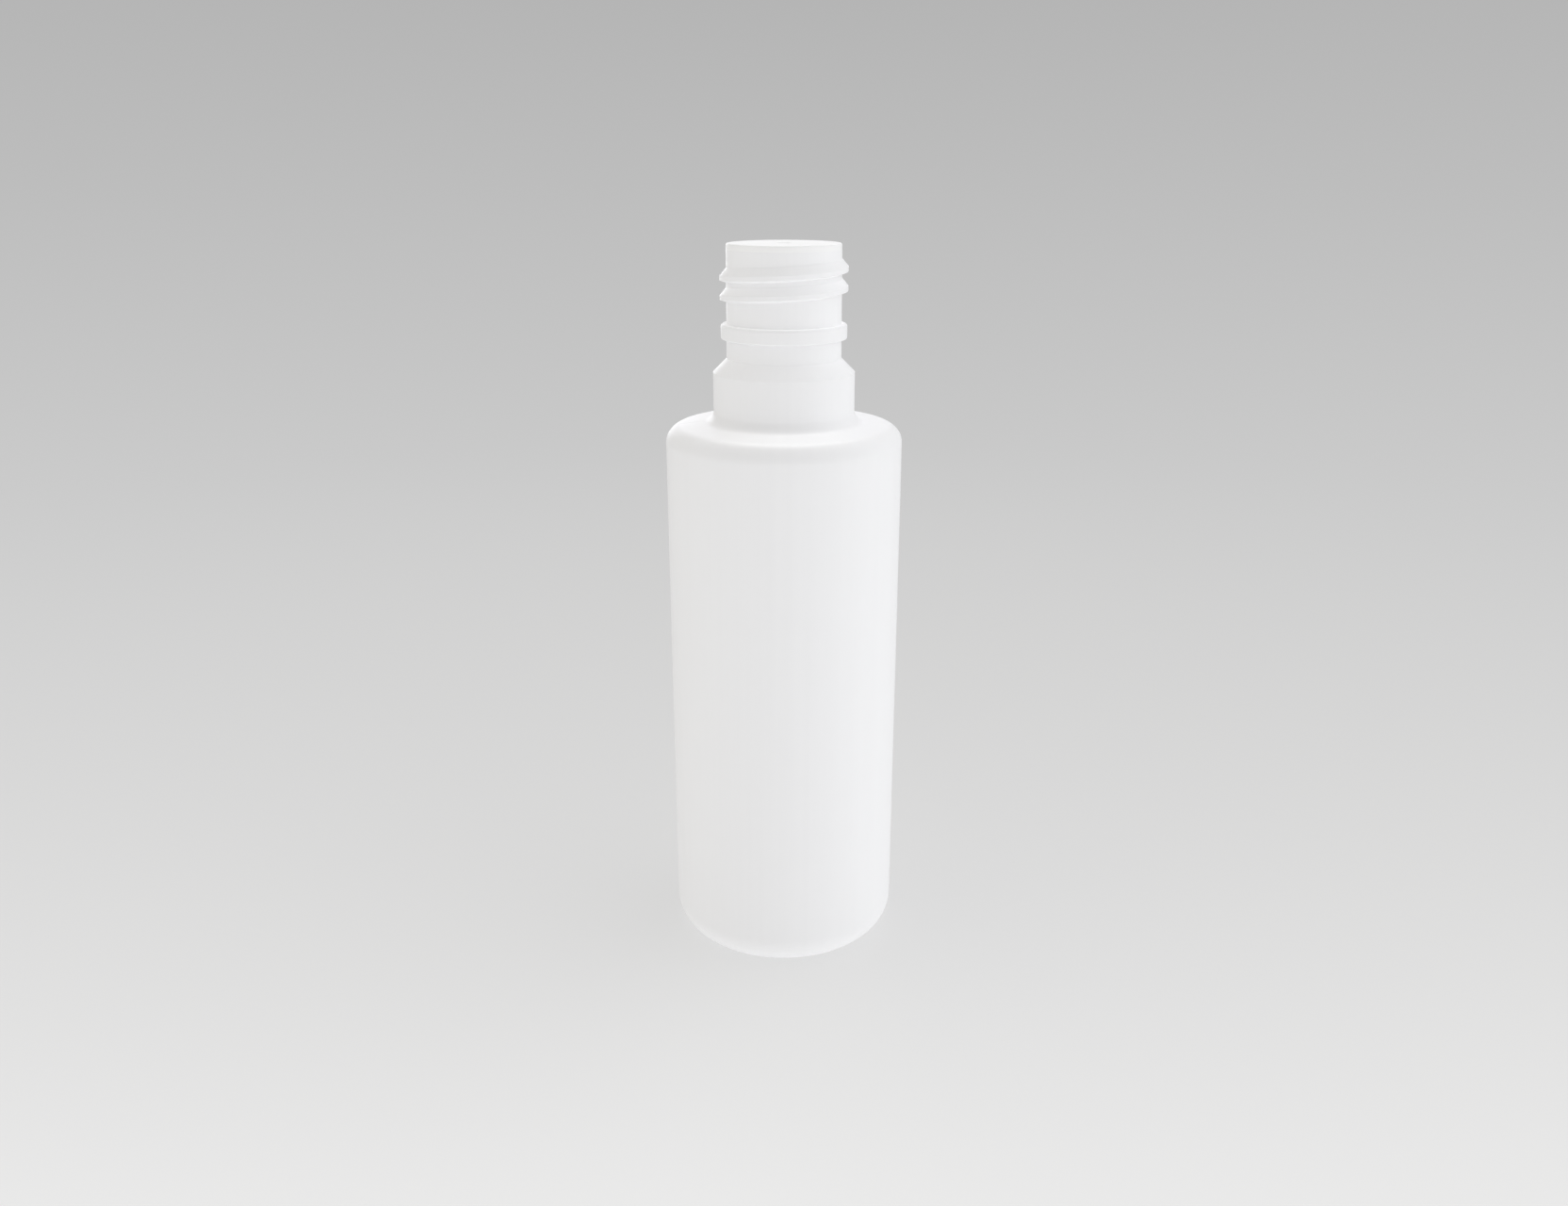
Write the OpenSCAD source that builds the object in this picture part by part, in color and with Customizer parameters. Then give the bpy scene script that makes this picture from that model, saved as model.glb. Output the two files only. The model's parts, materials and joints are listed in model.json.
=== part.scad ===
// A slim round cosmetic bottle: a blown plastic shell with a threaded neck, and the plug that seals it.
// The origin is the middle of the ring that the bottle stands on, and +Z runs up through the neck.
// The bottle is turned about that axis, so each piece is a half section turned once round it.

/* [Body] */
// Outside diameter of the straight body
body_d = 41; // [37:0.5:50]
// Height at which the straight wall ends and the shoulder begins
body_h = 93.75; // [60:0.25:140]
// Radius of the round between the body and the base
base_round = 5.9; // [4:0.1:8]
// Radius of the round between the body and the shoulder
shoulder_round = 3.1; // [2.2:0.1:4.5]
// Fall of the shoulder from the collar to the body, in degrees
shoulder_fall = 6.6; // [2:0.2:14]
// Thickness of the shell's wall
wall = 1.1; // [0.7:0.05:1.6]

/* [Base] */
// Rise of the hollow under the base
push_up = 2.1; // [1:0.1:4]
// Width of the flat ring that the bottle stands on
ring_w = 1.5; // [0.8:0.1:3]
// Thickness of the base over its hollow
base_wall = 1.4; // [0.9:0.05:2.2]

/* [Collar] */
// Outside diameter of the collar
collar_d = 24.3; // [22.5:0.1:28]
// Height of the collar's straight wall
collar_h = 6.6; // [4:0.1:12]
// Radius of the blend between the collar and the shoulder
collar_blend = 2; // [1:0.1:3.5]

/* [Neck] */
// Diameter of the neck's wall at its foot
neck_d = 19.58; // [18.8:0.02:20.4]
// Draft of the neck's wall, in degrees
neck_draft = 0.25; // [0:0.05:0.6]
// Height of the neck, from the collar's bevel to the rim
neck_h = 17.95; // [16.5:0.05:24]
// Diameter of the bore through the neck
bore_d = 16.5; // [14:0.1:16.8]
// Bevel round the mouth of the bore
mouth_bevel = 0.3; // [0.1:0.05:0.5]
// Diameter of the bead
bead_d = 21.46; // [20.6:0.02:23]
// Height of the bead
bead_h = 2.5; // [1.5:0.1:3]
// Radius of the round on the bead's top edge
bead_round = 0.5; // [0.2:0.05:0.9]
// Radius of the round on the bead's lower edge
bead_edge = 0.2; // [0.1:0.05:0.4]
// Distance from the rim down to the top of the bead
bead_drop = 12.15; // [10.6:0.05:14]

/* [Thread] */
// Diameter over the thread
thread_d = 21.65; // [20.8:0.05:22.6]
// Rise of the thread in one turn
pitch = 3.175; // [2.8:0.025:3.6]
// Turns of thread at full depth
thread_turns = 1.57; // [1:0.01:1.7]
// Length of the run-out at each end of the thread, in degrees
thread_fade = 48; // [20:1:80]
// Width of the thread's crest
crest_w = 0.76; // [0.4:0.02:1]
// Height of the thread's long upper flank
upper_flank_h = 1.29; // [0.8:0.01:1.4]
// Height of the thread's short lower flank
lower_flank_h = 0.36; // [0.2:0.02:0.7]
// Distance from the rim down to the middle of the crest, at the front
thread_drop = 3.92; // [3.5:0.02:4.6]

/* [Plug] */
// Thickness of the plug's disc
disc_t = 1; // [0.7:0.05:1.6]
// Radius of the round on the disc's top edge
disc_round = 0.3; // [0.1:0.05:0.5]
// Reach of the plug's skirt down the bore
skirt_h = 7; // [4:0.25:10]
// Thickness of the skirt's wall
skirt_wall = 0.9; // [0.6:0.05:1.4]
// Height of the sealing rings above the skirt's wall
seal_h = 0.25; // [0.1:0.05:0.4]
// Radius of the sealing rings' section
seal_round = 0.6; // [0.45:0.05:0.9]
// Clearance between the sealing rings and the bore
seal_gap = 0.05; // [0.02:0.01:0.1]
// Bevel that leads the skirt into the bore
lead_in = 0.5; // [0.2:0.05:0.8]

/* [Hidden] */
$fn = 144;

// Extra reach of a cut past the face that it opens
overrun = 1;
// Radii of the turned shapes
body_r = body_d / 2;
collar_r = collar_d / 2;
neck_r = neck_d / 2;
bore_r = bore_d / 2;
bead_r = bead_d / 2;
thread_r = thread_d / 2;

// Middle of the round that joins the body to the base, from the axis
base_x = body_r - base_round;
// Middle of the shoulder's round, from the axis
shoulder_x = body_r - shoulder_round;
// Middle of the collar's blend, from the axis
blend_x = collar_r + collar_blend;
// Height of the sloping shoulder at a distance x from the axis, lowered square to itself by inset
function slope_z(x, inset) =
    body_h + (shoulder_round - inset) / cos(shoulder_fall) - (x - shoulder_x) * tan(shoulder_fall);
// Height at which the collar's straight wall begins, which is the middle of its blend
blend_z = slope_z(blend_x, 0) + collar_blend / cos(shoulder_fall);
collar_top = blend_z + collar_h;
// The bevel rises as far as it draws in
neck_z = collar_top + collar_r - neck_r;
rim_z = neck_z + neck_h;
// Radius of the neck's wall at a height z
function neck_at(z) = neck_r - (z - neck_z) * tan(neck_draft);
rim_r = neck_at(rim_z);
bead_top = rim_z - bead_drop;

// Fall of a 45 degree face that is moved square to itself by the wall's thickness
bevel_wall = wall * sqrt(2);
// Radius of the cavity under the collar, and the height at which it starts to draw in to the bore
cavity_r = collar_r - wall;
cavity_top = collar_top + wall - bevel_wall;

// Half width of the hollow under the base, and the radius of its shallow dome
hollow_r = base_x - ring_w;
dome_r = (hollow_r * hollow_r + push_up * push_up) / (2 * push_up);

// The thread's front crosses -Y, and its height is set there
front_a = 270;
thread_front_z = rim_z - thread_drop;
thread_depth = thread_r - neck_at(thread_front_z);
// The thread's back lies inside the neck's wall, by a share of the thread's depth
sink_share = 0.45;
thread_sink = thread_depth * sink_share;
thread_back_r = rim_r - thread_sink;
// The crest still lies inside the wall where a run-out ends
toe_share = 0.2;
thread_toe_r = thread_back_r + thread_sink * toe_share;
// The thread's upper end lies a little behind the right-hand side
thread_side_a = 12;
thread_top_a = 360 + thread_side_a;
thread_low_a = thread_top_a - 360 * thread_turns;
thread_steps = 136;

// Radii of the plug's sealing rings and skirt
seal_r = bore_r - seal_gap;
skirt_r = seal_r - seal_h;
// Places of the sealing rings down the skirt, as shares of its height
seal_shares = [0.3, 0.62];

// Half outline of the body and the collar, drawn in by inset all over
module shell_outline(inset) {
    translate([0, base_round])
        square([body_r - inset, body_h - base_round]);
    translate([0, inset])
        square([base_x, base_round - inset]);
    translate([base_x, base_round])
        circle(base_round - inset);
    translate([shoulder_x, body_h])
        circle(shoulder_round - inset);
    polygon([
        [0, body_h],
        [shoulder_x, body_h],
        [
            shoulder_x + (shoulder_round - inset) * sin(shoulder_fall),
            body_h + (shoulder_round - inset) * cos(shoulder_fall)
        ],
        [collar_r - inset, slope_z(collar_r - inset, inset)],
        [0, slope_z(collar_r - inset, inset)]
    ]);
    blend_outline(inset);
}

// Half outline of the collar's foot, with the blend to the shoulder cut out of it
module blend_outline(inset) {
    foot_x = blend_x - (collar_blend + inset) * sin(shoulder_fall);
    difference() {
        polygon([
            [0, body_h],
            [foot_x, body_h],
            [foot_x, slope_z(foot_x, inset)],
            [blend_x, blend_z],
            [0, blend_z]
        ]);
        translate([blend_x, blend_z])
            circle(collar_blend + inset);
    }
}

// Half outline of the whole shell, without its cavity
module outer_outline() {
    shell_outline(0);
    polygon([
        [0, blend_z],
        [collar_r, blend_z],
        [collar_r, collar_top],
        [neck_r, neck_z],
        [rim_r, rim_z],
        [0, rim_z]
    ]);
    bead_outline();
}

// Half outline of the bead, with its two rounded edges
module bead_outline() {
    translate([0, bead_top - bead_h + bead_edge])
        square([bead_r, bead_h - bead_edge - bead_round]);
    translate([0, bead_top - bead_h])
        square([bead_r - bead_edge, bead_h - bead_round]);
    translate([0, bead_top - bead_round - bead_edge])
        square([bead_r - bead_round, bead_round + bead_edge]);
    translate([bead_r - bead_round, bead_top - bead_round])
        circle(bead_round);
    translate([bead_r - bead_edge, bead_top - bead_h + bead_edge])
        circle(bead_edge);
}

// Half outline of the cavity: the body, the widening under the collar and the bore
module cavity_outline() {
    difference() {
        shell_outline(wall);
        // The floor follows the hollow under the base
        translate([0, push_up - dome_r])
            circle(dome_r + base_wall);
    }
    polygon([
        [0, blend_z],
        [cavity_r, blend_z],
        [cavity_r, cavity_top],
        [bore_r, cavity_top + cavity_r - bore_r],
        [bore_r, rim_z - mouth_bevel],
        [bore_r + mouth_bevel + overrun, rim_z + overrun],
        [0, rim_z + overrun]
    ]);
}

// Half section of the shell
module bottle_section() {
    difference() {
        outer_outline();
        cavity_outline();
        translate([0, push_up - dome_r])
            circle(dome_r);
    }
}

// Height of the middle of the thread's crest at an angle a
function thread_z(a) = thread_front_z + pitch * (a - front_a) / 360;
// A smooth step from 0 to 1
function ease(t) = t * t * (3 - 2 * t);
// Share of the full depth at an angle a, which eases in over the run-out at each end
function fade_share(a) = ease(min(
    1,
    (a - thread_low_a + thread_fade) / thread_fade,
    (thread_top_a + thread_fade - a) / thread_fade
));
// Radius of the crest at an angle a
function crest_r(a) = thread_toe_r + (thread_r - thread_toe_r) * fade_share(a);
// Four corners of the thread's section: its flanks keep their slope as the crest sinks into the wall
function thread_corners(reach) = [
    [thread_back_r, crest_w / 2 + (reach - thread_back_r) * upper_flank_h / thread_depth],
    [reach, crest_w / 2],
    [reach, -crest_w / 2],
    [thread_back_r, -crest_w / 2 - (reach - thread_back_r) * lower_flank_h / thread_depth]
];
thread_angles = [
    for (i = [0:thread_steps])
        thread_low_a - thread_fade + (thread_top_a - thread_low_a + 2 * thread_fade) * i / thread_steps
];
thread_points = [
    for (a = thread_angles)
        for (corner = thread_corners(crest_r(a)))
            [corner[0] * cos(a), corner[0] * sin(a), thread_z(a) + corner[1]]
];
// Each step of the thread joins four corners to the next four, and a flat cap closes each end
thread_sides = [
    for (i = [0:thread_steps - 1])
        for (k = [0:3])
            let (near = 4 * i + k, beside = 4 * i + (k + 1) % 4)
                each [[near, beside + 4, beside], [near, near + 4, beside + 4]]
];
thread_caps = [
    for (k = [1, 2])
        each [
            [0, k, k + 1],
            [4 * thread_steps, 4 * thread_steps + k + 1, 4 * thread_steps + k]
        ]
];

// The one-and-a-half turn thread
module thread() {
    polyhedron(thread_points, concat(thread_sides, thread_caps));
}

module bottle() {
    color("white") {
        rotate_extrude()
            bottle_section();
        thread();
    }
}

// Half section of the plug
module plug_section() {
    difference() {
        union() {
            translate([0, rim_z])
                square([rim_r, disc_t - disc_round]);
            translate([0, rim_z])
                square([rim_r - disc_round, disc_t]);
            translate([rim_r - disc_round, rim_z + disc_t - disc_round])
                circle(disc_round);
            translate([0, rim_z - skirt_h])
                square([skirt_r, skirt_h]);
            for (share = seal_shares)
                translate([seal_r - seal_round, rim_z - skirt_h * share])
                    circle(seal_round);
        }
        // Hollow of the skirt, open below
        translate([0, rim_z - skirt_h - overrun])
            square([skirt_r - skirt_wall, skirt_h + overrun]);
        // Bevel round the skirt's lower end
        polygon([
            [skirt_r - lead_in, rim_z - skirt_h],
            [skirt_r + overrun, rim_z - skirt_h + lead_in + overrun],
            [skirt_r + overrun, rim_z - skirt_h - overrun],
            [skirt_r - lead_in, rim_z - skirt_h - overrun]
        ]);
    }
}

module plug() {
    color("whitesmoke")
        rotate_extrude()
            plug_section();
}

bottle();
plug();
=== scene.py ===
import json
import math

import bmesh
import bpy
import numpy as np
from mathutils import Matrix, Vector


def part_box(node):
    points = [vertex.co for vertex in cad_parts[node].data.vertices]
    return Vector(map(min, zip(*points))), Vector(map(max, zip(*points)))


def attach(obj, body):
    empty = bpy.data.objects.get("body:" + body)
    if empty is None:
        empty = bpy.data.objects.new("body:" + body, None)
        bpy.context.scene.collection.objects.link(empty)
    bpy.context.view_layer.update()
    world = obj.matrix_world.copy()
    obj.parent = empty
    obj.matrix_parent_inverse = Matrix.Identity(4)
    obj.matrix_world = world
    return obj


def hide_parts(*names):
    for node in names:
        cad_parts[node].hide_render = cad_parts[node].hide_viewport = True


# A slim white cosmetic bottle and its press-in plug. Shapes are worked out in millimetres and stored
# in metres.
mm = 0.001

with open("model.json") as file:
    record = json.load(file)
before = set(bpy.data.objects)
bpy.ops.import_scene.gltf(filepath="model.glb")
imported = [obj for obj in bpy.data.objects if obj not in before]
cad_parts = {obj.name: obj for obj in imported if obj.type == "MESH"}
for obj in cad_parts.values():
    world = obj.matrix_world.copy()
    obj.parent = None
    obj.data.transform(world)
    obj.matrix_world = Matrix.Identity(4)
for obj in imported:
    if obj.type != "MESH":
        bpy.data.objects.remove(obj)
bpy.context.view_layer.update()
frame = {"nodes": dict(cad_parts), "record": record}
mounts = {mount["name"]: mount for mount in frame["record"]["mounts"]}
print("frame loaded:", ", ".join(sorted(frame["nodes"])))


# lowest and highest end of a round wall that a mount states, and its radius, in millimetres
def wallOf(name):
    middle, dims = mounts[name]["pos_m"][2] / mm, mounts[name]["dims"]
    return middle - dims["length_mm"] / 2, middle + dims["length_mm"] / 2, dims["r_mm"]


bodyLow, bodyHigh, bodyRadius = wallOf("body_wall")
collarHigh, collarRadius = wallOf("collar")[1:]
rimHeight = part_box("bottle")[1].z / mm
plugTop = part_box("plug")[1].z / mm
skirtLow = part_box("plug")[0].z / mm

shell = {
    "wall": 1.1,
    "pushUp": 2.1,  # rise of the hollow under the base
    "ringWidth": 1.5,  # flat ring that the bottle stands on
    "ringEdge": 0.3,
    "baseWall": 1.4,
    "shoulderRound": 3.1,
    "shoulderFall": 6.6,  # degrees
    "collarBlend": 2.0,
    "collarEdge": 0.06,
    "floorEdge": 0.6,
    "throatEdge": 0.6,
}

neck = {
    "footRadius": 9.79,
    "draft": 0.25,  # degrees
    "footEdge": 0.08,
    "boreRadius": 8.25,
    "mouthBevel": 0.3,
    "rimEdge": 0.035,
    "beadRadius": 10.73,
    "beadHeight": 2.5,
    "beadDrop": 12.15,  # from the rim down to the top of the bead
    "beadTopRound": 0.5,
    "beadLowRound": 0.2,
    "beadRoot": 0.06,
}

thread = {
    "radius": 10.825,
    "pitch": 3.175,
    "drop": 3.92,  # from the rim down to the middle of the crest, at the front
    "frontAngle": 270.0,
    "topAngle": 372.0,  # where the upper run-out begins
    "turns": 1.57,
    "runOut": 48.0,  # degrees, at each end
    "crestHalf": 0.38,
    "upperFlank": 1.29,
    "lowerFlank": 0.36,
    "sunkShare": 0.45,
    "toeShare": 0.2,
    "crestSoftness": 0.06,
    "rootSoftness": 0.07,
    "leastFlank": 0.55,  # share of a full flank that the rows still spread over where the thread has sunk
    "bandLow": 115.3,  # heights of the circles that the ribbon is held between
    "bandHigh": 125.75,
}

# rows across the thread's ribbon: its lower edge, and rows at these distances from the corners of its section
threadRowsAt = {
    "edge": -1.1,
    "lowRoot": (-0.08, -0.04, 0.0, 0.035, 0.07),
    "lowCrest": (-0.05, -0.025, 0.0, 0.02, 0.05, 0.11),
    "highCrest": (-0.16, -0.1, -0.05, 0.0, 0.05, 0.1, 0.16),
    "highRoot": (-0.2, -0.12, -0.06, 0.0, 0.06, 0.13, 0.22),
    "flank": (0.33, 0.67),  # shares of the way along the long upper flank
}

seam = {
    "height": 0.03,  # flash left by the two halves of the mould
    "halfWidth": 0.085,
    "pinchHeight": 0.2,  # weld line under the base
    "pinchHalfWidth": 0.42,
    "pinchHalfLength": 11.0,
    "pinchFade": 1.2,
}

plugSizes = {
    "edgeRound": 0.3,
    "lowerEdge": 0.035,
    "skirtRadius": 7.95,
    "skirtWall": 0.9,
    "ringRadius": 8.2,
    "ringRound": 0.6,
    "ringShares": (0.3, 0.62),  # places of the sealing rings down the skirt
    "ringFoot": 0.1,
    "leadIn": 0.5,
    "softEdge": 0.12,
    "gateRadius": 1.3,  # shallow dimple with the stub of the gate in its middle
    "gateDepth": 0.12,
    "gateFoot": 0.06,
    "stubRadius": 0.42,
    "stubHeight": 0.09,
    "stubFoot": 0.0225,
    "stubEdge": 0.03,
}

grid = {
    "columnStep": 2.0,  # degrees between two columns round the axis
    "seamColumns": (0.12, 0.25, 0.42, 0.7, 1.1),  # closer columns beside the mould's parting line
    "arcStep": 6.0,  # degrees along a round
    "leastArcSteps": 4,
    "support": 0.16,  # distance of the rows that hold a straight wall beside a round
    "longest": 7.0,  # longest stretch of a straight wall between two rows
    "poleRows": (0, 0.12, 0.3, 0.6),  # distances of the rows round the middle of the hollow under the base
    "domeRows": 30,
    "domeMargin": 0.35,  # width left for the round beside the hollow
    "insideRows": 16,
    "insideMargin": 0.4,
    "ringRows": 13,
    "mergeReach": 0.0008,  # points closer than this become one
    "dropReach": 0.0002,  # edges shorter than this are taken out
}


# smooth step: 3 t squared less 2 t cubed, with t held between 0 and 1
def ease(t):
    t = np.clip(t, 0, 1)
    return t * t * (3 - 2 * t)


# larger of two arrays, with a rounded change where they differ by less than soft
def softMax(a, b, soft):
    near = np.maximum(soft - np.abs(a - b), 0) / soft
    return np.maximum(a, b) + near * near * soft / 4


def softMin(a, b, soft):
    return -softMax(-a, -b, soft)


# rows along a straight stretch: one close to each end, and even ones between them
def straightRows(start, end):
    start, end = np.array(start, float), np.array(end, float)
    length = float(np.hypot(*(end - start)))
    if length < 3 * grid["support"]:
        return np.zeros((0, 2))
    count = 2 + int((length - 2 * grid["support"]) / grid["longest"])
    along = np.linspace(grid["support"], length - grid["support"], count) / length
    return start + along[:, None] * (end - start)


# an outline through corners (distance from the axis, height, radius of the round): each corner is cut back by
# the radius times the tangent of half its turn, and a circular arc joins the two cuts
def roundedOutline(corners):
    points = np.array([c[:2] for c in corners], float)
    rows, last = [points[:1]], points[0]
    for i in range(1, len(corners) - 1):
        into, away = points[i] - points[i - 1], points[i + 1] - points[i]
        into, away = into / np.hypot(*into), away / np.hypot(*away)
        turn = math.atan2(into[0] * away[1] - into[1] * away[0], into @ away)
        radius = corners[i][2]
        start = points[i] - into * radius * math.tan(abs(turn) / 2)
        side = math.copysign(1, turn) * np.array([-into[1], into[0]])
        centre = start + side * radius
        steps = max(grid["leastArcSteps"], math.ceil(math.degrees(abs(turn)) / grid["arcStep"]))
        bend = np.linspace(0, turn, steps + 1)
        spoke = start - centre
        across = spoke[0] * np.cos(bend) - spoke[1] * np.sin(bend)
        upward = spoke[0] * np.sin(bend) + spoke[1] * np.cos(bend)
        arc = centre + np.stack([across, upward], axis=1)
        rows += [straightRows(last, start), arc]
        last = arc[-1]
    rows += [straightRows(last, points[-1]), points[-1:]]
    return np.concatenate(rows)


# heights of a shallow dome: the square root of its radius squared less the distance squared, moved to its top
def domeHeights(distance, radius, top):
    return np.sqrt(radius * radius - distance * distance) - radius + top


# angles of the columns in one turn, in degrees, closer together beside the parting line at 0 and 180
def columnAngles():
    even = np.arange(0, 360, grid["columnStep"])
    close = np.array(grid["seamColumns"])
    beside = np.concatenate([close, 180 - close, 180 + close, 360 - close])
    return np.sort(np.concatenate([even, beside]))


# height of the flash along the mould's parting line: a bell curve of the distance from the plane y = 0
def flashHeight(y):
    return seam["height"] * np.exp(-((y / seam["halfWidth"]) ** 2))


# weld line under the base: (1 - (y / w)^2)^2 across, and an eased end at each side
def pinchHeight(x, y):
    across = np.clip(1 - (y / seam["pinchHalfWidth"]) ** 2, 0, None) ** 2
    ends = ease((seam["pinchHalfLength"] - np.abs(x)) / seam["pinchFade"])
    return seam["pinchHeight"] * across * ends


# a surface of revolution: each row of the outline is carried round the axis, as distance times cosine and
# sine of the angle. raised(x, y, z) gives how far a point stands out along the outline's own normal. A row at
# distance 0 becomes one pole.
def turnedSurface(outline, angles, raised=None):
    turn = np.radians(angles)
    slope = np.gradient(outline, axis=0)
    normal = np.stack([slope[:, 1], -slope[:, 0]], axis=1) / np.hypot(slope[:, 0], slope[:, 1])[:, None]
    normal[outline[:, 0] == 0, 0] = 0
    normal /= np.hypot(normal[:, 0], normal[:, 1])[:, None]
    distance = np.repeat(outline[:, :1], len(turn), axis=1)
    height = np.repeat(outline[:, 1:], len(turn), axis=1)
    if raised:
        lift = raised(distance * np.cos(turn), distance * np.sin(turn), height)
        distance = distance + lift * normal[:, :1]
        height = height + lift * normal[:, 1:]
    points = np.stack([distance * np.cos(turn), distance * np.sin(turn), height], axis=2).reshape(-1, 3)
    row, column = np.meshgrid(np.arange(len(outline) - 1), np.arange(len(turn)), indexing="ij")
    beside = (column + 1) % len(turn)
    start, end = row * len(turn), (row + 1) * len(turn)
    quads = np.stack([start + column, start + beside, end + beside, end + column], axis=2)
    return points, quads.reshape(-1, 4)


# radius of the neck's outer wall at a height, less by the tangent of its draft
def neckRadiusAt(height):
    return neck["footRadius"] - (height - neckFoot) * math.tan(math.radians(neck["draft"]))


# height of the middle of the crest at an unwound angle, one pitch higher for each turn
def crestHeight(angle):
    return rimHeight - thread["drop"] + thread["pitch"] * (angle - thread["frontAngle"]) / 360


# radius of the crest at an unwound angle, full between the run-outs and sunk below the wall at their ends,
# and the depth of the thread
def crestRadius(angle):
    lowAngle = thread["topAngle"] - 360 * thread["turns"] - thread["runOut"]
    highAngle = thread["topAngle"] + thread["runOut"]
    share = ease(np.minimum(angle - lowAngle, highAngle - angle) / thread["runOut"])
    rim = neckRadiusAt(rimHeight)
    depth = thread["radius"] - neckRadiusAt(rimHeight - thread["drop"])
    back = rim - depth * thread["sunkShare"]
    toe = back + depth * thread["sunkShare"] * thread["toeShare"]
    return toe + (thread["radius"] - toe) * share, depth


# offsets of the rows across the thread, from the middle of the crest: they close up round the four corners of
# its section, and the two at its roots follow the flanks as the crest sinks
def threadRows(share):
    at = threadRowsAt
    lowCrest, highCrest = -thread["crestHalf"], thread["crestHalf"]
    lowRoot = lowCrest - thread["lowerFlank"] * share
    highRoot = highCrest + thread["upperFlank"] * share
    fixed = np.ones_like(share)
    rows = [at["edge"] * fixed, (lowRoot + at["edge"]) / 2]
    rows += [lowRoot + d for d in at["lowRoot"]]
    rows += [(lowRoot + at["lowRoot"][-1] + lowCrest + at["lowCrest"][0]) / 2]
    rows += [(lowCrest + d) * fixed for d in at["lowCrest"]]
    rows += [0 * fixed]
    rows += [(highCrest + d) * fixed for d in at["highCrest"]]
    start, end = highCrest + at["highCrest"][-1], highRoot + at["highRoot"][0]
    rows += [start * (1 - t) + end * t for t in at["flank"]]
    rows += [highRoot + d for d in at["highRoot"]]
    rows += [(highRoot + at["highRoot"][-1] + thread["pitch"] + at["edge"]) / 2]
    return np.stack(rows, axis=1)


# the band of the neck that carries the thread, as one helical ribbon: the first parameter runs along the
# helix and the second across it, one pitch wide, so that each turn's upper edge is the next turn's lower one.
# Heights are held between the band's two circles. The section is the lowest of crest and two sloping flanks,
# and never less than the wall.
def threadBand(angles):
    turns = math.ceil((thread["bandHigh"] - thread["bandLow"]) / thread["pitch"]) + 2
    first = math.floor((thread["bandLow"] - 2 * thread["pitch"] - crestHeight(0)) / thread["pitch"]) + 1
    unwound = (angles[None, :] + 360 * (first + np.arange(turns))[:, None]).ravel()
    radius, depth = crestRadius(unwound)
    wallThere = neckRadiusAt(crestHeight(unwound))
    share = np.clip((radius - wallThere) / depth, thread["leastFlank"], 1)
    offset = threadRows(share)
    height = np.clip(crestHeight(unwound)[:, None] + offset, thread["bandLow"], thread["bandHigh"])
    offset = height - crestHeight(unwound)[:, None]
    crest = radius[:, None]
    upper = crest - (offset - thread["crestHalf"]) * depth / thread["upperFlank"]
    lower = crest + (offset + thread["crestHalf"]) * depth / thread["lowerFlank"]
    section = softMin(crest + 0 * offset, upper, thread["crestSoftness"])
    section = softMin(section, lower, thread["crestSoftness"])
    distance = softMax(neckRadiusAt(height), section, thread["rootSoftness"])
    turn = np.radians(unwound)[:, None]
    distance = distance + flashHeight(distance * np.sin(turn))
    points = np.stack([distance * np.cos(turn), distance * np.sin(turn), height], axis=2)
    count, across = offset.shape
    column, row = np.meshgrid(np.arange(count - 1), np.arange(across), indexing="ij")
    start, end = column * across, (column + 1) * across
    turnOn = len(angles) * across
    above = np.where(row + 1 == across, start + turnOn, start + row + 1)
    aboveNext = np.where(row + 1 == across, end + turnOn, end + row + 1)
    quads = np.stack([start + row, end + row, aboveNext, above], axis=2).reshape(-1, 4)
    quads = quads[(quads < count * across).all(axis=1)]
    flat = points.reshape(-1, 3)
    held = flat[quads][:, :, 2]
    inside = (held.max(axis=1) > thread["bandLow"]) & (held.min(axis=1) < thread["bandHigh"])
    return flat, quads[inside]


# puts several surfaces into one, with each one's point numbers moved on past those before it
def joined(surfaces):
    starts = np.cumsum([0] + [len(points) for points, faces in surfaces[:-1]])
    return (np.concatenate([points for points, faces in surfaces]),
            np.concatenate([faces + start for (points, faces), start in zip(surfaces, starts)]))


# a finished piece from points in millimetres: doubled points are merged, which closes seams and poles
def makePiece(name, points, faces, material):
    mesh = bpy.data.meshes.new(name)
    mesh.from_pydata((points * mm).tolist(), [], faces.tolist())
    work = bmesh.new()
    work.from_mesh(mesh)
    bmesh.ops.remove_doubles(work, verts=work.verts, dist=grid["mergeReach"] * mm)
    bmesh.ops.dissolve_degenerate(work, edges=work.edges, dist=grid["dropReach"] * mm)
    work.to_mesh(mesh)
    work.free()
    mesh.shade_smooth()
    mesh.materials.append(material)
    piece = bpy.data.objects.new(name, mesh)
    bpy.context.scene.collection.objects.link(piece)
    print(name, "has", len(mesh.vertices), "points and", len(mesh.polygons), "faces")
    return piece


# a new node with its settings
def addNode(tree, kind, **settings):
    node = tree.nodes.new(kind)
    for key, value in settings.items():
        setattr(node, key, value)
    return node


def link(tree, source, target):
    tree.links.new(source, target)


# value of a Math node whose inputs are sockets or numbers
def calc(tree, operation, *inputs, clamp=False):
    node = addNode(tree, "ShaderNodeMath", operation=operation, use_clamp=clamp)
    for socket, value in zip(node.inputs, inputs):
        if isinstance(value, (int, float)):
            socket.default_value = value
        else:
            link(tree, value, socket)
    return node.outputs[0]


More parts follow.
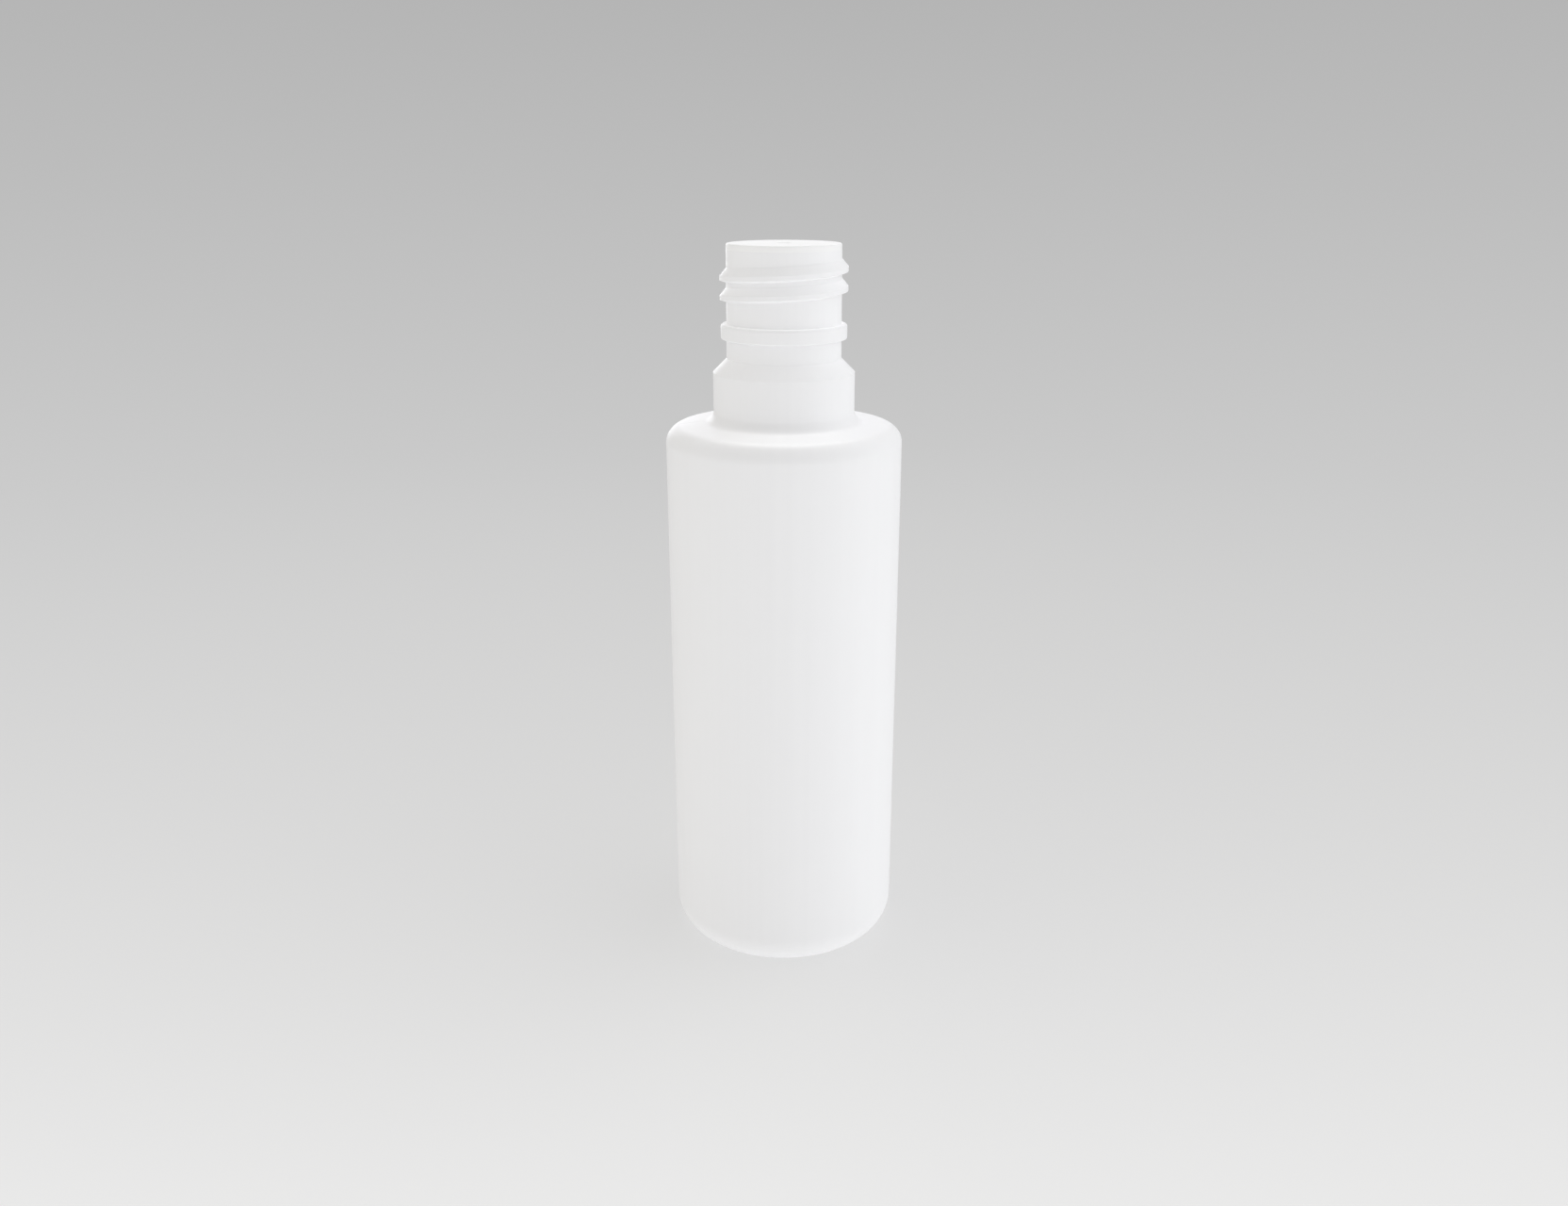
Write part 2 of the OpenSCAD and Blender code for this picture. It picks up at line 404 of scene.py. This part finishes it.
# an empty node group with its sockets: inputs as (label, kind, value), outputs as (label, kind)
def newGroup(name, inputs, outputs):
    tree = bpy.data.node_groups.new(name, "ShaderNodeTree")
    for label, kind, value in inputs:
        socket = tree.interface.new_socket(label, in_out="INPUT", socket_type=kind)
        if value is not None:
            socket.default_value = value
    for label, kind in outputs:
        tree.interface.new_socket(label, in_out="OUTPUT", socket_type=kind)
    return tree, tree.nodes.new("NodeGroupInput"), tree.nodes.new("NodeGroupOutput")


# value from 0 to 1 of a noise texture, whose scale is a socket or a number
def noise(tree, vector, scale, detail=2.0, roughness=0.5):
    node = addNode(tree, "ShaderNodeTexNoise", noise_dimensions="3D")
    for label, value in (("Detail", detail), ("Roughness", roughness)):
        node.inputs[label].default_value = value
    if isinstance(scale, (int, float)):
        node.inputs["Scale"].default_value = scale
    else:
        link(tree, scale, node.inputs["Scale"])
    link(tree, vector, node.inputs["Vector"])
    return node.outputs["Fac"]


# what the two plastics' skins have in common
skinPattern = {
    "streakRise": 9.0,  # steps of the streaks' pattern to a metre along the axis
    "streakDetail": 3.0,
    "wavesPerMetre": 70.0,
    "patchesPerMetre": 160.0,
    "patchTone": 0.6,
    "grainGloss": 0.5,
}


# skin of moulded plastic: fine grain, a slow unevenness of the wall, and faint streaks drawn along the axis,
# raised a little as die lines in the relief and put into Tone as painted shade, faint lighter and darker
# bands round the body.
# Relief is in millimetres, and Tone and Gloss vary round 0.
def mouldedSkin():
    pattern = skinPattern
    tree, given, made = newGroup(
        "mouldedSkin",
        [
            ("Vector", "NodeSocketVector", None),
            ("Grain per metre", "NodeSocketFloat", 1400.0),
            ("Grain depth", "NodeSocketFloat", 0.0006),
            ("Wave depth", "NodeSocketFloat", 0.02),
            ("Streaks", "NodeSocketFloat", 14.0),
            ("Streak depth", "NodeSocketFloat", 0.0025),
        ],
        [("Tone", "NodeSocketFloat"), ("Gloss", "NodeSocketFloat"), ("Relief", "NodeSocketFloat")],
    )
    vector = given.outputs["Vector"]
    parts = addNode(tree, "ShaderNodeSeparateXYZ")
    link(tree, vector, parts.inputs[0])
    flat = addNode(tree, "ShaderNodeCombineXYZ")
    link(tree, parts.outputs["X"], flat.inputs["X"])
    link(tree, parts.outputs["Y"], flat.inputs["Y"])
    facing = addNode(tree, "ShaderNodeVectorMath", operation="NORMALIZE")
    link(tree, flat.outputs[0], facing.inputs[0])
    drawn = addNode(tree, "ShaderNodeVectorMath", operation="SCALE")
    link(tree, facing.outputs[0], drawn.inputs[0])
    link(tree, given.outputs["Streaks"], drawn.inputs["Scale"])
    rise = addNode(tree, "ShaderNodeCombineXYZ")
    link(tree, calc(tree, "MULTIPLY", parts.outputs["Z"], pattern["streakRise"]), rise.inputs["Z"])
    along = addNode(tree, "ShaderNodeVectorMath", operation="ADD")
    link(tree, drawn.outputs[0], along.inputs[0])
    link(tree, rise.outputs[0], along.inputs[1])
    dieLinesAndShadeBands = calc(tree, "SUBTRACT", noise(tree, along.outputs[0], 1.0, pattern["streakDetail"]), 0.5)
    grain = calc(tree, "SUBTRACT", noise(tree, vector, given.outputs["Grain per metre"]), 0.5)
    wave = calc(tree, "SUBTRACT", noise(tree, vector, pattern["wavesPerMetre"], 1.0), 0.5)
    patches = calc(tree, "SUBTRACT", noise(tree, vector, pattern["patchesPerMetre"], 3.0, 0.6), 0.5)
    raisedGrain = calc(tree, "MULTIPLY", grain, given.outputs["Grain depth"])
    raisedWave = calc(tree, "MULTIPLY", wave, given.outputs["Wave depth"])
    raisedStreaks = calc(tree, "MULTIPLY", dieLinesAndShadeBands, given.outputs["Streak depth"])
    relief = calc(tree, "ADD", raisedGrain, calc(tree, "ADD", raisedWave, raisedStreaks))
    link(tree, relief, made.inputs["Relief"])
    # the streaks in Tone are painted shade, faint bands round the body; the patches are uneven tone of the
    # plastic itself
    tone = calc(tree, "ADD", dieLinesAndShadeBands, calc(tree, "MULTIPLY", patches, pattern["patchTone"]))
    gloss = calc(tree, "ADD", patches, calc(tree, "MULTIPLY", grain, pattern["grainGloss"]))
    link(tree, tone, made.inputs["Tone"])
    link(tree, gloss, made.inputs["Gloss"])
    return tree


# base colour around its plain value: Tone makes it lighter or darker by the share given
def tonedColour():
    tree, given, made = newGroup(
        "tonedColour",
        [
            ("Colour", "NodeSocketColor", (0.87, 0.87, 0.87, 1.0)),
            ("Tone", "NodeSocketFloat", 0.0),
            ("Share", "NodeSocketFloat", 0.02),
        ],
        [("Colour", "NodeSocketColor")],
    )
    factor = calc(tree, "ADD", calc(tree, "MULTIPLY", given.outputs["Tone"], given.outputs["Share"]), 1.0)
    scaled = addNode(tree, "ShaderNodeVectorMath", operation="SCALE")
    link(tree, given.outputs["Colour"], scaled.inputs[0])
    link(tree, factor, scaled.inputs["Scale"])
    link(tree, scaled.outputs[0], made.inputs["Colour"])
    return tree


skinGroup = mouldedSkin()
toneGroup = tonedColour()

bottlePlastic = {
    "colour": (0.87, 0.87, 0.88, 1.0),
    "roughness": 0.4,
    "glossShare": 0.12,
    "toneShare": 0.025,
    "ior": 1.5,
    "skin": {"Grain per metre": 1400.0, "Grain depth": 0.0006, "Wave depth": 0.02, "Streaks": 14.0,
             "Streak depth": 0.0025},
}

plugPlastic = {
    "colour": (0.89, 0.89, 0.89, 1.0),
    "roughness": 0.36,
    "glossShare": 0.1,
    "toneShare": 0.02,
    "ior": 1.5,
    "skin": {"Grain per metre": 2200.0, "Grain depth": 0.0005, "Wave depth": 0.008, "Streaks": 3.0,
             "Streak depth": 0.0005},
}


# soft-gloss plastic: the shared skin feeds its colour, roughness and relief
def plasticMaterial(name, look):
    material = bpy.data.materials.new(name)
    material.use_nodes = True
    tree = material.node_tree
    shader = tree.nodes["Principled BSDF"]
    shader.inputs["IOR"].default_value = look["ior"]
    place = addNode(tree, "ShaderNodeTexCoord")
    skin = addNode(tree, "ShaderNodeGroup", node_tree=skinGroup)
    for label, value in look["skin"].items():
        skin.inputs[label].default_value = value
    link(tree, place.outputs["Object"], skin.inputs["Vector"])
    tone = addNode(tree, "ShaderNodeGroup", node_tree=toneGroup)
    tone.inputs["Colour"].default_value = look["colour"]
    tone.inputs["Share"].default_value = look["toneShare"]
    link(tree, skin.outputs["Tone"], tone.inputs["Tone"])
    link(tree, tone.outputs["Colour"], shader.inputs["Base Color"])
    dulled = calc(tree, "MULTIPLY_ADD", skin.outputs["Gloss"], look["glossShare"], look["roughness"])
    link(tree, dulled, shader.inputs["Roughness"])
    relief = addNode(tree, "ShaderNodeBump")
    relief.inputs["Distance"].default_value = mm
    link(tree, skin.outputs["Relief"], relief.inputs["Height"])
    link(tree, relief.outputs[0], shader.inputs["Normal"])
    return material


# radius of the hollow under the base, and of the ball that its dome is cut from: half the sum of the hollow's
# radius squared over the rise, and the rise
def baseHollow():
    hollow = bodyRadius - bodyLow - shell["ringWidth"]
    return hollow, (hollow**2 + shell["pushUp"] ** 2) / (2 * shell["pushUp"])


# half outline of the shell's outside, from the middle of the base to the thread's band
def outsideLow():
    hollow, domeRadius = baseHollow()
    evenRows = np.linspace(grid["poleRows"][-1], hollow - grid["domeMargin"], grid["domeRows"])
    across = np.concatenate([grid["poleRows"][:-1], evenRows])
    dome = np.stack([across, domeHeights(across, domeRadius, shell["pushUp"])], axis=1)
    beadTop = rimHeight - neck["beadDrop"]
    beadLow = beadTop - neck["beadHeight"]
    wall = roundedOutline([
        tuple(dome[-1]) + (0,),
        (hollow, 0, shell["ringEdge"]),
        (bodyRadius, 0, bodyLow),
        (bodyRadius, slopeHeight(bodyRadius, 0), shell["shoulderRound"]),
        (collarRadius, slopeHeight(collarRadius, 0), shell["collarBlend"]),
        (collarRadius, collarHigh, shell["collarEdge"]),
        (neck["footRadius"], neckFoot, neck["footEdge"]),
        (neckRadiusAt(beadLow), beadLow, neck["beadRoot"]),
        (neck["beadRadius"], beadLow, neck["beadLowRound"]),
        (neck["beadRadius"], beadTop, neck["beadTopRound"]),
        (neckRadiusAt(beadTop), beadTop, neck["beadRoot"]),
        (neckRadiusAt(thread["bandLow"]), thread["bandLow"], 0),
    ])
    return np.concatenate([dome[:-1], wall])


# half outline from the top of the thread's band over the rim and down inside to the middle of the floor
def insideOutline():
    inner = collarRadius - shell["wall"]
    coneFoot = collarHigh + shell["wall"] * (1 - math.sqrt(2))
    coneTop = coneFoot + inner - neck["boreRadius"]
    floorTop = shell["pushUp"] + shell["baseWall"]
    floorRadius = baseHollow()[1] + shell["baseWall"]
    floorEdge = math.sqrt(floorRadius**2 - (floorRadius - floorTop + shell["wall"]) ** 2)
    floorStart = floorEdge - grid["insideMargin"]
    innerWall = bodyRadius - shell["wall"]
    down = roundedOutline([
        (neckRadiusAt(thread["bandHigh"]), thread["bandHigh"], 0),
        (neckRadiusAt(rimHeight), rimHeight, neck["rimEdge"]),
        (neck["boreRadius"] + neck["mouthBevel"], rimHeight, neck["rimEdge"]),
        (neck["boreRadius"], rimHeight - neck["mouthBevel"], neck["rimEdge"]),
        (neck["boreRadius"], coneTop, shell["throatEdge"]),
        (inner, coneFoot, shell["throatEdge"]),
        (inner, slopeHeight(inner, shell["wall"]), shell["collarBlend"] + shell["wall"]),
        (innerWall, slopeHeight(innerWall, shell["wall"]), shell["shoulderRound"] - shell["wall"]),
        (innerWall, shell["wall"], bodyLow - shell["wall"]),
        (floorEdge, shell["wall"], shell["floorEdge"]),
        (floorStart, float(domeHeights(floorStart, floorRadius, floorTop)), 0),
    ])
    across = np.linspace(floorStart, 0, grid["insideRows"])
    floor = np.stack([across, domeHeights(across, floorRadius, floorTop)], axis=1)
    return np.concatenate([down, floor[1:]])


# height of the sloping shoulder at a distance from the axis, lowered square to itself by inset
def slopeHeight(distance, inset):
    fall = math.radians(shell["shoulderFall"])
    middle = bodyRadius - shell["shoulderRound"]
    return bodyHigh + (shell["shoulderRound"] - inset) / math.cos(fall) - (distance - middle) * math.tan(fall)


# what stands out on the outside: the flash, faded away over the standing ring, and the hollow's weld line
def outsideRelief(x, y, z):
    within = np.hypot(x, y) < bodyRadius - bodyLow
    flash = flashHeight(y) * np.where(within & (z < bodyLow), 0, ease(z / bodyLow))
    return flash + np.where(within & (z < bodyLow), pinchHeight(x, y), 0)


# the flash on the short stretch of the neck above the thread's band
def rimRelief(x, y, z):
    onOutside = (np.hypot(x, y) > neckRadiusAt(rimHeight) - neck["rimEdge"]) & (z > thread["bandLow"])
    return np.where(onOutside, flashHeight(y), 0)


def bottlePiece(material):
    angles = columnAngles()
    surfaces = [
        turnedSurface(outsideLow(), angles, outsideRelief),
        threadBand(angles),
        turnedSurface(insideOutline(), angles, rimRelief),
    ]
    return makePiece("bottleShell", *joined(surfaces), material)


# half outline of the plug, from the middle of its hollow's roof round the skirt and disc to the middle of its
# top. A sealing ring bulges as a circle: the square root of its radius squared less the height squared.
def plugOutline():
    sizes = plugSizes
    hollow = sizes["skirtRadius"] - sizes["skirtWall"]
    discRadius = neckRadiusAt(rimHeight)
    skirt = rimHeight - skirtLow
    ringMiddle = sizes["ringRadius"] - sizes["ringRound"]
    half = math.sqrt(sizes["ringRound"] ** 2 - (sizes["skirtRadius"] - ringMiddle) ** 2)
    gateFloor = plugTop - sizes["gateDepth"]
    inside = roundedOutline([
        (0, rimHeight, 0),
        (hollow, rimHeight, sizes["softEdge"]),
        (hollow, skirtLow, sizes["softEdge"]),
        (sizes["skirtRadius"] - sizes["leadIn"], skirtLow, sizes["softEdge"]),
        (sizes["skirtRadius"], skirtLow + sizes["leadIn"], sizes["softEdge"]),
        (sizes["skirtRadius"], rimHeight - skirt * sizes["ringShares"][1] - half - sizes["ringFoot"], 0),
    ])
    rings = []
    for share in reversed(sizes["ringShares"]):
        middle = rimHeight - skirt * share
        height = np.linspace(-half, half, grid["ringRows"])
        bulge = ringMiddle + np.sqrt(sizes["ringRound"] ** 2 - height**2)
        rings.append(np.stack([bulge, middle + height], axis=1))
        rings.append(np.array([[sizes["skirtRadius"], middle + half + sizes["ringFoot"]]]))
    above = roundedOutline([
        (sizes["skirtRadius"], rings[-1][-1][1], 0),
        (sizes["skirtRadius"], rimHeight, sizes["lowerEdge"]),
        (discRadius, rimHeight, sizes["lowerEdge"]),
        (discRadius, plugTop, sizes["edgeRound"]),
        (sizes["gateRadius"], plugTop, sizes["gateDepth"]),
        (sizes["gateRadius"] - sizes["gateDepth"], gateFloor, sizes["gateFoot"]),
        (sizes["stubRadius"], gateFloor, sizes["stubFoot"]),
        (sizes["stubRadius"], gateFloor + sizes["stubHeight"], sizes["stubEdge"]),
        (0, gateFloor + sizes["stubHeight"], 0),
    ])
    return np.concatenate([inside] + rings + [above[1:]])


def plugPiece(material):
    points, faces = turnedSurface(plugOutline(), np.arange(0, 360, grid["columnStep"]))
    return makePiece("mouthPlug", points, faces, material)


neckFoot = collarHigh + collarRadius - neck["footRadius"]

bottle = bottlePiece(plasticMaterial("bottlePlastic", bottlePlastic))
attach(bottle, "bottle")
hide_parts("bottle")

plug = plugPiece(plasticMaterial("plugPlastic", plugPlastic))
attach(plug, "plug")
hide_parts("plug")
print("pieces made")

view = {
    "lens": 30.0,
    "sensor": 36.0,
    "place": (0.0, -0.2254, 0.13914),
    "target": (0.0, 0.0, 0.06392),
    "frameWidth": 1664,
    "frameHeight": 1280,
    "nearest": 0.01,  # what is closer or farther than these isn't shown
    "farthest": 20.0,
}

stageSizes = {
    "floorRadius": 5.0,
    "floorRows": 40,
    "floorColumns": 96,
    "glowFront": 1.08,  # light that the table sends up from inside, in front of the bottle and behind it
    "glowBack": 0.47,
    "glowBlend": 0.06,  # distance each way over which the one becomes the other
    "glowShareNear": 0.6,  # share of the floor's look that lamps and shadows don't change, by the bottle
    "glowShareFar": 1.0,
    "nearReach": 0.12,  # distances between which the one share becomes the other
    "farReach": 0.5,
    "paleness": 0.975,  # colour of the floor as a share of the grey that the camera sees
    "brightLine": -0.13,  # the floor is brightest along this line, in front of the camera's view
    "brightHalf": 0.09,  # half the line's length
    "brightSpread": 0.58,  # the fade's straight part widens by this share of the way behind the line
    "brightSoft": 0.02,
}

leastForward = 0.02  # keeps the fade whole where a way turns back past the camera

# grey of the background down the picture, from top to bottom, as first, linear and square terms
fade = (0.462, 0.306, 0.063)
fadeEnds = (-0.1, 1.0)


# grey of a direction from the camera's place, given as how far it goes forward and down: its height in the
# picture, 0 at the top and 1 at the bottom, goes into a parabola
def fadeGroup():
    tree, given, made = newGroup(
        "stageFade",
        [("Forward", "NodeSocketFloat", 1.0), ("Down", "NodeSocketFloat", 0.0)],
        [("Grey", "NodeSocketFloat")],
    )
    tilt = (view["place"][2] - view["target"][2]) / (view["target"][1] - view["place"][1])
    zoom = view["lens"] / view["sensor"] * view["frameWidth"] / view["frameHeight"]
    forward, down = given.outputs["Forward"], given.outputs["Down"]
    low = calc(tree, "SUBTRACT", down, calc(tree, "MULTIPLY", forward, tilt))
    along = calc(tree, "MAXIMUM", calc(tree, "MULTIPLY_ADD", down, tilt, forward), leastForward)
    place = calc(tree, "MULTIPLY_ADD", calc(tree, "DIVIDE", low, along), zoom, 0.5)
    place = calc(tree, "MINIMUM", calc(tree, "MAXIMUM", place, fadeEnds[0]), fadeEnds[1])
    grey = calc(tree, "MULTIPLY_ADD", calc(tree, "MULTIPLY_ADD", place, fade[2], fade[1]), place, fade[0])
    link(tree, grey, made.inputs["Grey"])
    return tree


fadeTree = fadeGroup()


# 1 for camera, mirror and see-through rays, which show the background's own grey
def seenRays(tree):
    path = addNode(tree, "ShaderNodeLightPath")
    mirrored = calc(tree, "ADD", path.outputs["Is Camera Ray"], path.outputs["Is Glossy Ray"], clamp=True)
    return calc(tree, "ADD", mirrored, path.outputs["Is Transmission Ray"], clamp=True)


# value that goes smoothly from one number to another as a socket goes from start to end
def blendOver(tree, source, start, end, first, last):
    node = addNode(tree, "ShaderNodeMapRange", interpolation_type="SMOOTHSTEP")
    link(tree, source, node.inputs["Value"])
    for label, value in (("From Min", start), ("From Max", end), ("To Min", first), ("To Max", last)):
        node.inputs[label].default_value = value
    return node.outputs["Result"]


# length of the level arrow with two given parts
def levelLength(tree, x, y):
    square = calc(tree, "MULTIPLY_ADD", x, x, calc(tree, "MULTIPLY", y, y))
    return calc(tree, "SQRT", square)


# lit table: the camera sees the grey fade, by the distance from the bright line, with the bottle's shadow in
# the part that lamps light. What the table lights gets its glow.
def floorMaterial():
    sizes = stageSizes
    reach, front, back = sizes["glowBlend"], sizes["glowFront"], sizes["glowBack"]
    near, far = sizes["glowShareNear"], sizes["glowShareFar"]
    material = bpy.data.materials.new("paleFloor")
    material.use_nodes = True
    tree = material.node_tree
    tree.nodes.remove(tree.nodes["Principled BSDF"])
    place = addNode(tree, "ShaderNodeTexCoord")
    parts = addNode(tree, "ShaderNodeSeparateXYZ")
    link(tree, place.outputs["Object"], parts.inputs[0])
    x, y = parts.outputs["X"], parts.outputs["Y"]
    distance = levelLength(tree, x, y)
    behind = calc(tree, "SUBTRACT", y, sizes["brightLine"])
    widening = calc(tree, "MAXIMUM", behind, 0)
    half = calc(tree, "MULTIPLY_ADD", widening, sizes["brightSpread"], sizes["brightHalf"])
    aside = calc(tree, "MAXIMUM", calc(tree, "SUBTRACT", calc(tree, "ABSOLUTE", x), half), 0)
    away = levelLength(tree, levelLength(tree, aside, behind), sizes["brightSoft"])
    grey = addNode(tree, "ShaderNodeGroup", node_tree=fadeTree)
    grey.inputs["Down"].default_value = view["place"][2]
    link(tree, calc(tree, "ADD", away, sizes["brightLine"] - view["place"][1]), grey.inputs["Forward"])
    lit = addNode(tree, "ShaderNodeBsdfDiffuse")
    link(tree, calc(tree, "MULTIPLY", grey.outputs[0], sizes["paleness"]), lit.inputs["Color"])
    glow = addNode(tree, "ShaderNodeMix", data_type="FLOAT")
    link(tree, seenRays(tree), glow.inputs["Factor"])
    link(tree, blendOver(tree, y, -reach, reach, front, back), glow.inputs["A"])
    link(tree, grey.outputs[0], glow.inputs["B"])
    shown = addNode(tree, "ShaderNodeEmission")
    link(tree, glow.outputs["Result"], shown.inputs["Color"])
    share = blendOver(tree, distance, sizes["nearReach"], sizes["farReach"], near, far)
    mixed = addNode(tree, "ShaderNodeMixShader")
    link(tree, share, mixed.inputs["Fac"])
    link(tree, lit.outputs[0], mixed.inputs[1])
    link(tree, shown.outputs[0], mixed.inputs[2])
    oneSided = addNode(tree, "ShaderNodeMixShader")  # from below, the bottle is seen through the floor
    link(tree, addNode(tree, "ShaderNodeNewGeometry").outputs["Backfacing"], oneSided.inputs["Fac"])
    link(tree, mixed.outputs[0], oneSided.inputs[1])
    link(tree, addNode(tree, "ShaderNodeBsdfTransparent").outputs[0], oneSided.inputs[2])
    link(tree, oneSided.outputs[0], tree.nodes["Material Output"].inputs["Surface"])
    return material


# a round floor, flat, as rings that widen with the square of their number
def floorPiece():
    reach = stageSizes["floorRadius"] / mm * np.linspace(0, 1, stageSizes["floorRows"]) ** 2
    outline = np.stack([reach[::-1], 0 * reach], axis=1)
    angles = np.linspace(0, 360, stageSizes["floorColumns"], endpoint=False)
    floor = makePiece("paleFloor", *turnedSurface(outline, angles), floorMaterial())


# light of the room, strongest straight from the left, the right and above: each fades with the cosine of the
# turn away from there
room = {
    "left": {"power": 1.18, "colour": (1.0, 0.985, 0.93, 1.0)},
    "right": {"power": 1.75, "colour": (0.985, 0.995, 1.0, 1.0)},
    "above": {"power": 0.385, "colour": (1.0, 0.98, 1.0, 1.0)},
}


# the room lights the object as stated above, and camera, mirror and see-through rays meet the grey fade
def makeWorld():
    world = bpy.data.worlds.new("paleRoom")
    bpy.context.scene.world = world
    world.use_nodes = True
    tree = world.node_tree
    tree.nodes.remove(tree.nodes["Background"])
    place = addNode(tree, "ShaderNodeTexCoord")
    parts = addNode(tree, "ShaderNodeSeparateXYZ")
    link(tree, place.outputs["Generated"], parts.inputs[0])
    x, y, z = parts.outputs
    lit = None
    for name, way in (("left", calc(tree, "MULTIPLY", x, -1)), ("right", x), ("above", z)):
        side = addNode(tree, "ShaderNodeBackground")
        side.inputs["Color"].default_value = room[name]["colour"]
        strength = calc(tree, "MULTIPLY", calc(tree, "MAXIMUM", way, 0), room[name]["power"])
        link(tree, strength, side.inputs["Strength"])
        if lit:
            both = addNode(tree, "ShaderNodeAddShader")
            link(tree, lit, both.inputs[0])
            link(tree, side.outputs[0], both.inputs[1])
        lit = both.outputs[0] if lit else side.outputs[0]
    grey = addNode(tree, "ShaderNodeGroup", node_tree=fadeTree)
    link(tree, levelLength(tree, x, y), grey.inputs["Forward"])
    link(tree, calc(tree, "MULTIPLY", z, -1), grey.inputs["Down"])
    seen = addNode(tree, "ShaderNodeBackground")
    link(tree, grey.outputs["Grey"], seen.inputs["Color"])
    mixed = addNode(tree, "ShaderNodeMixShader")
    link(tree, seenRays(tree), mixed.inputs["Fac"])
    link(tree, lit, mixed.inputs[1])
    link(tree, seen.outputs[0], mixed.inputs[2])
    link(tree, mixed.outputs[0], tree.nodes["World Output"].inputs["Surface"])


# soft panels round the bottle, all facing its middle: the way to each as degrees round from the front and up,
# its width and height in metres, its power in watts and its colour. Open panels cast no shadow. A panel below
# the table shines through it, and isn't mirrored in the plastic.
lampRing = 1.0
lamps = {
    "tableUnder": {"turn": 0, "rise": -78, "size": (0.5, 0.5), "power": 2.07, "colour": (0.99, 0.99, 1.0),
                   "open": True},
    "topBack": {"turn": 180, "rise": 52, "size": (0.6, 0.6), "power": 2.1, "colour": (1.0, 1.0, 0.985),
                "open": True},
    "leftBack": {"turn": -164, "rise": 4, "size": (0.35, 0.4), "power": 0.93, "colour": (0.94, 0.95, 1.0),
                 "open": False},
    "back": {"turn": 180, "rise": 15, "size": (0.5, 0.4), "power": 0.41, "colour": (0.93, 0.93, 1.0),
             "open": False},
}


def addLamps(target):
    for name, lamp in lamps.items():
        light = bpy.data.lights.new(name, "AREA")
        light.shape = "RECTANGLE"
        light.size, light.size_y = lamp["size"]
        light.energy = lamp["power"]
        light.color = lamp["colour"]
        light.use_shadow = light.cycles.use_multiple_importance_sampling = not lamp["open"]
        stand = bpy.data.objects.new(name, light)
        bpy.context.scene.collection.objects.link(stand)
        turn, rise = math.radians(lamp["turn"]), math.radians(lamp["rise"])
        away = Vector((math.sin(turn) * math.cos(rise), -math.cos(turn) * math.cos(rise), math.sin(rise)))
        stand.location = target + lampRing * away
        stand.rotation_euler = (-away).to_track_quat("-Z", "Y").to_euler()
        stand.visible_camera = False
        stand.visible_glossy = lamp["rise"] > 0


def addCamera():
    camera = bpy.data.objects.new("camera", bpy.data.cameras.new("camera"))
    bpy.context.scene.collection.objects.link(camera)
    camera.data.lens = view["lens"]
    camera.data.sensor_width = view["sensor"]
    camera.data.clip_start, camera.data.clip_end = view["nearest"], view["farthest"]
    camera.location = view["place"]
    target = Vector(view["target"])
    camera.rotation_euler = (target - camera.location).to_track_quat("-Z", "Y").to_euler()
    bpy.context.scene.camera = camera
    return target


floorPiece()
makeWorld()
addLamps(addCamera())
bpy.context.scene.view_settings.view_transform = "Standard"
print("stage, lamps and camera set")
